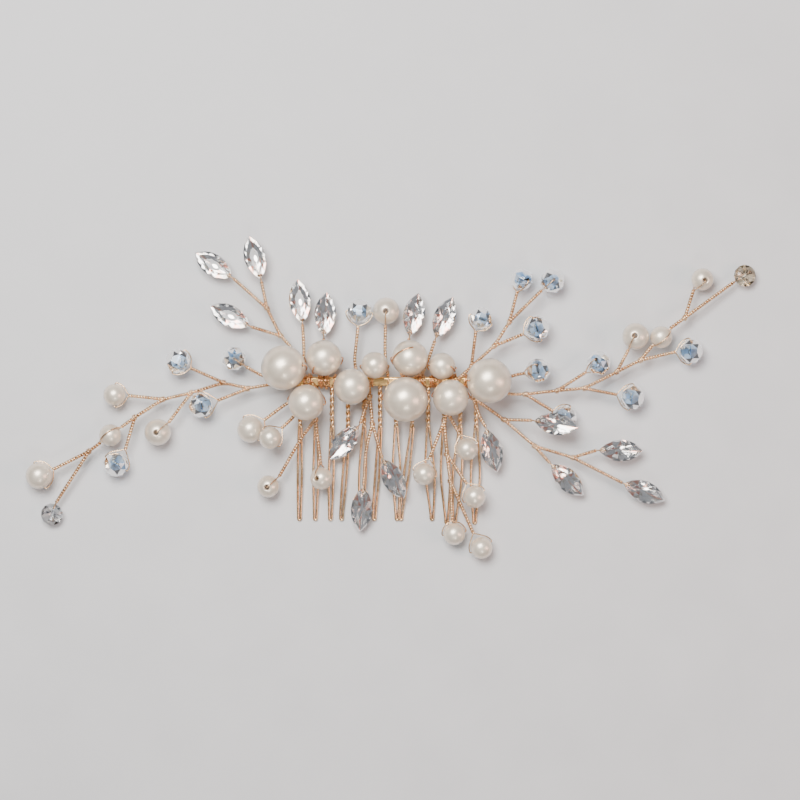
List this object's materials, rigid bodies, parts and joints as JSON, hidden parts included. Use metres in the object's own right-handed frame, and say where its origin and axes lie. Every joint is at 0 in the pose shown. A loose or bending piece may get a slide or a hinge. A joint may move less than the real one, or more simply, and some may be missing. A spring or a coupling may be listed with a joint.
{
  "type": "decorative hair comb",
  "caption": "Bridal hair comb: folded gold bar with hairpin teeth carrying wired sprays of pearls, faceted crystals, marquise stones and rhinestones.",
  "frame": {"origin": "middle of the ornament's width and height, on the surface that the comb lies on", "axes": "+X along the bar, from the spray with the lower end to the spray with the upper end; +Y away from the teeth; +Z out of the front, towards the viewer of the worn comb"},
  "size_m": [0.1642, 0.0726, 0.0142],
  "materials": {
    "comb_metal": "bright pale gold plating on steel wire and strip",
    "binding_wire": "bright rose gold lacquered craft wire",
    "vine_wire": "bright champagne gold lacquered craft wire, twisted in pairs",
    "pearl": "ivory imitation pearl, soft lustre",
    "crystal": "clear faceted glass with a cool blue cast",
    "marquise_glass": "clear faceted glass, silver foiled at the back",
    "rhinestone_clear": "clear faceted glass, silver foiled at the back",
    "rhinestone_champagne": "champagne faceted glass, foiled at the back"
  },
  "bodies": {
    "comb": {"comb_bar": "comb_metal", "comb_teeth": "comb_metal", "binding_wire": "binding_wire", "base_pearl_01": "pearl", "base_pearl_02": "pearl", "base_pearl_03": "pearl", "base_pearl_04": "pearl", "base_pearl_05": "pearl", "base_pearl_06": "pearl", "base_pearl_07": "pearl", "base_pearl_08": "pearl", "base_pearl_09": "pearl", "base_pearl_10": "pearl", "navettes_left": "marquise_glass", "navettes_top": "marquise_glass", "navettes_lower": "marquise_glass", "navettes_right": "marquise_glass", "rhinestone_left": "rhinestone_clear", "rhinestone_right": "rhinestone_champagne", "wire_left_long": "vine_wire", "wire_upper_left": "vine_wire", "wire_top_sprigs": "vine_wire", "wire_upper_right": "vine_wire", "wire_right_long": "vine_wire", "wire_lower_right": "vine_wire", "wire_lower_left": "vine_wire", "wire_lower_middle": "vine_wire", "wire_tooth_sprig": "vine_wire"},
    "crystal_01_body": {"crystal_01": "crystal"},
    "crystal_02_body": {"crystal_02": "crystal"},
    "crystal_03_body": {"crystal_03": "crystal"},
    "crystal_04_body": {"crystal_04": "crystal"},
    "crystal_05_body": {"crystal_05": "crystal"},
    "crystal_06_body": {"crystal_06": "crystal"},
    "crystal_07_body": {"crystal_07": "crystal"},
    "crystal_08_body": {"crystal_08": "crystal"},
    "crystal_09_body": {"crystal_09": "crystal"},
    "crystal_10_body": {"crystal_10": "crystal"},
    "crystal_11_body": {"crystal_11": "crystal"},
    "crystal_12_body": {"crystal_12": "crystal"},
    "crystal_13_body": {"crystal_13": "crystal"},
    "crystal_14_body": {"crystal_14": "crystal"},
    "pearl_01_body": {"pearl_01": "pearl"},
    "pearl_02_body": {"pearl_02": "pearl"},
    "pearl_03_body": {"pearl_03": "pearl"},
    "pearl_04_body": {"pearl_04": "pearl"},
    "pearl_05_body": {"pearl_05": "pearl"},
    "pearl_06_body": {"pearl_06": "pearl"},
    "pearl_07_body": {"pearl_07": "pearl"},
    "pearl_08_body": {"pearl_08": "pearl"},
    "pearl_09_body": {"pearl_09": "pearl"},
    "pearl_10_body": {"pearl_10": "pearl"},
    "pearl_11_body": {"pearl_11": "pearl"},
    "pearl_12_body": {"pearl_12": "pearl"},
    "pearl_13_body": {"pearl_13": "pearl"},
    "pearl_14_body": {"pearl_14": "pearl"},
    "pearl_15_body": {"pearl_15": "pearl"},
    "pearl_16_body": {"pearl_16": "pearl"},
    "pearl_17_body": {"pearl_17": "pearl"}
  },
  "joints": [
    {"name": "crystal_01_spin", "type": "hinge", "parent": "comb", "child": "crystal_01_body", "pos_m": [-0.048, 0.0082, 0.0044], "axis": [0.4722, 0.8815, 0], "continuous": true},
    {"name": "crystal_02_spin", "type": "hinge", "parent": "comb", "child": "crystal_02_body", "pos_m": [-0.0354, 0.0088, 0.0044], "axis": [0.0503, -0.0345, 0.9981], "continuous": true},
    {"name": "crystal_03_spin", "type": "hinge", "parent": "comb", "child": "crystal_03_body", "pos_m": [-0.0429, -0.0017, 0.0034], "axis": [-0.2781, 0.9606, 0], "continuous": true},
    {"name": "crystal_04_spin", "type": "hinge", "parent": "comb", "child": "crystal_04_body", "pos_m": [-0.062, -0.015, 0.0029], "axis": [-0.8437, 0.5369, 0], "continuous": true},
    {"name": "crystal_05_spin", "type": "hinge", "parent": "comb", "child": "crystal_05_body", "pos_m": [-0.0073, 0.0194, 0.0036], "axis": [0.9959, -0.0905, 0], "continuous": true},
    {"name": "crystal_06_spin", "type": "hinge", "parent": "comb", "child": "crystal_06_body", "pos_m": [0.02, 0.0178, 0.0044], "axis": [0.9191, -0.3939, 0], "continuous": true},
    {"name": "crystal_07_spin", "type": "hinge", "parent": "comb", "child": "crystal_07_body", "pos_m": [0.0291, 0.0266, 0.0038], "axis": [0.5714, -0.0875, 0.816], "continuous": true},
    {"name": "crystal_08_spin", "type": "hinge", "parent": "comb", "child": "crystal_08_body", "pos_m": [0.036, 0.0262, 0.0036], "axis": [0.0895, 0.0788, 0.9929], "continuous": true},
    {"name": "crystal_09_spin", "type": "hinge", "parent": "comb", "child": "crystal_09_body", "pos_m": [0.0326, 0.0156, 0.004], "axis": [0.3867, -0.9222, 0], "continuous": true},
    {"name": "crystal_10_spin", "type": "hinge", "parent": "comb", "child": "crystal_10_body", "pos_m": [0.0327, 0.0061, 0.005], "axis": [-0.1285, 0.476, 0.87], "continuous": true},
    {"name": "crystal_11_spin", "type": "hinge", "parent": "comb", "child": "crystal_11_body", "pos_m": [0.0462, 0.0077, 0.0046], "axis": [-0.2462, 0.3447, 0.9058], "continuous": true},
    {"name": "crystal_12_spin", "type": "hinge", "parent": "comb", "child": "crystal_12_body", "pos_m": [0.0671, 0.0104, 0.0029], "axis": [0.0294, -0.9996, 0], "continuous": true},
    {"name": "crystal_13_spin", "type": "hinge", "parent": "comb", "child": "crystal_13_body", "pos_m": [0.0539, 0.0001, 0.0036], "axis": [-0.169, -0.9856, 0], "continuous": true},
    {"name": "crystal_14_spin", "type": "hinge", "parent": "comb", "child": "crystal_14_body", "pos_m": [0.0388, -0.0045, 0.0028], "axis": [-0.4856, -0.8742, 0], "continuous": true},
    {"name": "pearl_01_spin", "type": "hinge", "parent": "comb", "child": "pearl_01_body", "pos_m": [-0.0793, -0.0175, 0.003], "axis": [-0.4008, 0.9162, 0], "continuous": true},
    {"name": "pearl_02_spin", "type": "hinge", "parent": "comb", "child": "pearl_02_body", "pos_m": [-0.0623, 0.00065, 0.0032], "axis": [0.0468, 0.9989, 0], "continuous": true},
    {"name": "pearl_03_spin", "type": "hinge", "parent": "comb", "child": "pearl_03_body", "pos_m": [-0.0632, -0.0084, 0.0035], "axis": [-0.8042, -0.5931, -0.0402], "continuous": true},
    {"name": "pearl_04_spin", "type": "hinge", "parent": "comb", "child": "pearl_04_body", "pos_m": [-0.0526, -0.0077, 0.0035], "axis": [-0.0431, -0.0381, 0.9983], "continuous": true},
    {"name": "pearl_05_spin", "type": "hinge", "parent": "comb", "child": "pearl_05_body", "pos_m": [-0.0318, -0.0071, 0.0032], "axis": [-0.5608, 0.8279, 0], "continuous": true},
    {"name": "pearl_06_spin", "type": "hinge", "parent": "comb", "child": "pearl_06_body", "pos_m": [-0.0272, -0.009, 0.0063], "axis": [-0.6606, 0.7507, 0], "continuous": true},
    {"name": "pearl_07_spin", "type": "hinge", "parent": "comb", "child": "pearl_07_body", "pos_m": [-0.0278, -0.0199, 0.003], "axis": [-0.0861, -0.0792, 0.9931], "continuous": true},
    {"name": "pearl_08_spin", "type": "hinge", "parent": "comb", "child": "pearl_08_body", "pos_m": [-0.0158, -0.0181, 0.0044], "axis": [-0.4872, 0.0234, 0.873], "continuous": true},
    {"name": "pearl_09_spin", "type": "hinge", "parent": "comb", "child": "pearl_09_body", "pos_m": [-0.0013, 0.0195, 0.004], "axis": [-0.0253, -0.0589, 0.9979], "continuous": true},
    {"name": "pearl_10_spin", "type": "hinge", "parent": "comb", "child": "pearl_10_body", "pos_m": [0.0072, -0.0171, 0.0044], "axis": [-0.943, 0.3328, 0], "continuous": true},
    {"name": "pearl_11_spin", "type": "hinge", "parent": "comb", "child": "pearl_11_body", "pos_m": [0.0168, -0.0115, 0.0051], "axis": [-0.9002, -0.4356, 0], "continuous": true},
    {"name": "pearl_12_spin", "type": "hinge", "parent": "comb", "child": "pearl_12_body", "pos_m": [0.0185, -0.0222, 0.0042], "axis": [-0.8627, -0.5057, 0], "continuous": true},
    {"name": "pearl_13_spin", "type": "hinge", "parent": "comb", "child": "pearl_13_body", "pos_m": [0.014, -0.0306, 0.0026], "axis": [-0.9864, -0.1644, 0], "continuous": true},
    {"name": "pearl_14_spin", "type": "hinge", "parent": "comb", "child": "pearl_14_body", "pos_m": [0.0201, -0.0337, 0.0026], "axis": [-0.8716, -0.4903, 0], "continuous": true},
    {"name": "pearl_15_spin", "type": "hinge", "parent": "comb", "child": "pearl_15_body", "pos_m": [0.0546, 0.0138, 0.0046], "axis": [-0.1507, 0.0183, 0.9884], "continuous": true},
    {"name": "pearl_16_spin", "type": "hinge", "parent": "comb", "child": "pearl_16_body", "pos_m": [0.0604, 0.0136, 0.0036], "axis": [0.7214, 0.6913, -0.0401], "continuous": true},
    {"name": "pearl_17_spin", "type": "hinge", "parent": "comb", "child": "pearl_17_body", "pos_m": [0.0697, 0.0266, 0.0032], "axis": [0.1781, -0.1425, 0.9736], "continuous": true}
  ]
}
